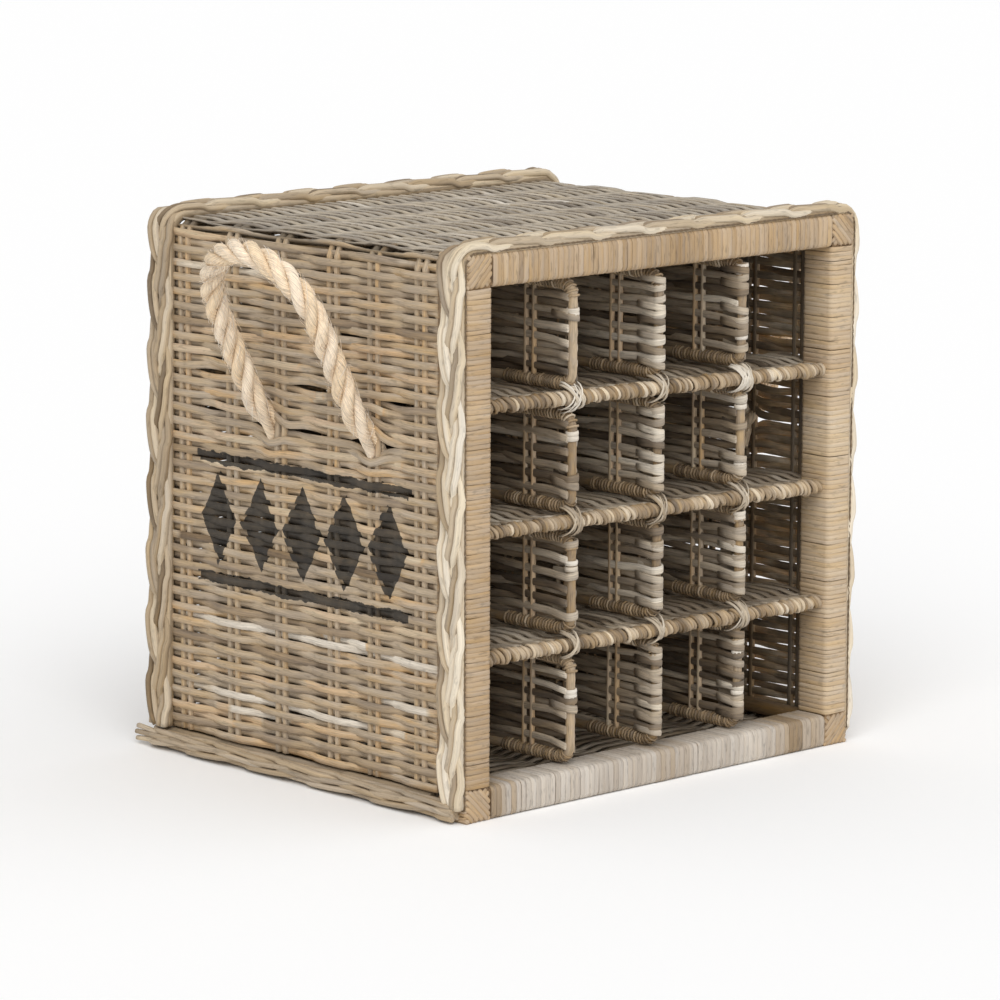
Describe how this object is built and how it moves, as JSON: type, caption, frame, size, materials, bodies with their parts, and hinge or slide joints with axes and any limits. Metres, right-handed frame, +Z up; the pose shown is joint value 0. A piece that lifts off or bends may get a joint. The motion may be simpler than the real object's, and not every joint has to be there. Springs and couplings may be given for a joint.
{
  "type": "wine rack",
  "caption": "Square woven wicker wine rack with a cane-bound front frame, plaited edges, a grid of open bottle cells and swinging rope side handles.",
  "frame": {"origin": "on the ground under the middle of the whole rack", "axes": "+X to the right seen from the open front, +Y from the open front to the back, +Z up"},
  "size_m": [0.616, 0.392, 0.4563],
  "materials": {
    "bound_cane": "peeled flat cane, satin",
    "batten": "sawn batten, bare",
    "pole": "round rattan pole",
    "wicker": "woven unpeeled cane, matt",
    "plait": "plaited straw-coloured cane",
    "rim_cane": "cane wound round a rod",
    "tie_cane": "thin cane lashing",
    "rope": "laid natural-fibre rope"
  },
  "bodies": {
    "rack": {"back_braid": "plait", "back_weave": "wicker", "base_braid": "plait", "body_weave": "wicker", "divider_1_1": "wicker", "divider_1_2": "wicker", "divider_1_3": "wicker", "divider_2_1": "wicker", "divider_2_2": "wicker", "divider_2_3": "wicker", "divider_3_1": "wicker", "divider_3_2": "wicker", "divider_3_3": "wicker", "divider_4_1": "wicker", "divider_4_2": "wicker", "divider_4_3": "wicker", "floor_weave": "wicker", "front_bottom_left_corner_binding": "bound_cane", "front_bottom_rail_binding": "bound_cane", "front_bottom_rail_core": "batten", "front_bottom_right_corner_binding": "bound_cane", "front_braid": "plait", "front_left_post_binding": "bound_cane", "front_left_post_core": "batten", "front_right_post_binding": "bound_cane", "front_right_post_core": "batten", "front_top_left_corner_binding": "bound_cane", "front_top_rail_binding": "bound_cane", "front_top_rail_core": "batten", "front_top_right_corner_binding": "bound_cane", "lashing_1_1": "tie_cane", "lashing_1_2": "tie_cane", "lashing_1_3": "tie_cane", "lashing_2_1": "tie_cane", "lashing_2_2": "tie_cane", "lashing_2_3": "tie_cane", "lashing_3_1": "tie_cane", "lashing_3_2": "tie_cane", "lashing_3_3": "tie_cane", "left_bottom_rail": "pole", "left_rope_tail_front": "rope", "left_rope_tail_rear": "rope", "left_top_rail": "pole", "rear_bottom_rail": "pole", "rear_left_post": "pole", "rear_right_post": "pole", "rear_top_rail": "pole", "right_bottom_rail": "pole", "right_rope_tail_front": "rope", "right_rope_tail_rear": "rope", "right_top_rail": "pole", "shelf_1_deck": "wicker", "shelf_1_rod": "rim_cane", "shelf_2_deck": "wicker", "shelf_2_rod": "rim_cane", "shelf_3_deck": "wicker", "shelf_3_rod": "rim_cane"},
    "left_handle": {"left_rope_loop": "rope"},
    "right_handle": {"right_rope_loop": "rope"}
  },
  "joints": [
    {"name": "left_handle_swing", "type": "hinge", "parent": "rack", "child": "left_handle", "pos_m": [-0.2288, -0.022, 0.3], "axis": [0, -1, 0], "range_deg": [-25, 119]},
    {"name": "right_handle_swing", "type": "hinge", "parent": "rack", "child": "right_handle", "pos_m": [0.2288, -0.022, 0.276], "axis": [0, 1, 0], "range_deg": [-25, 119]}
  ]
}
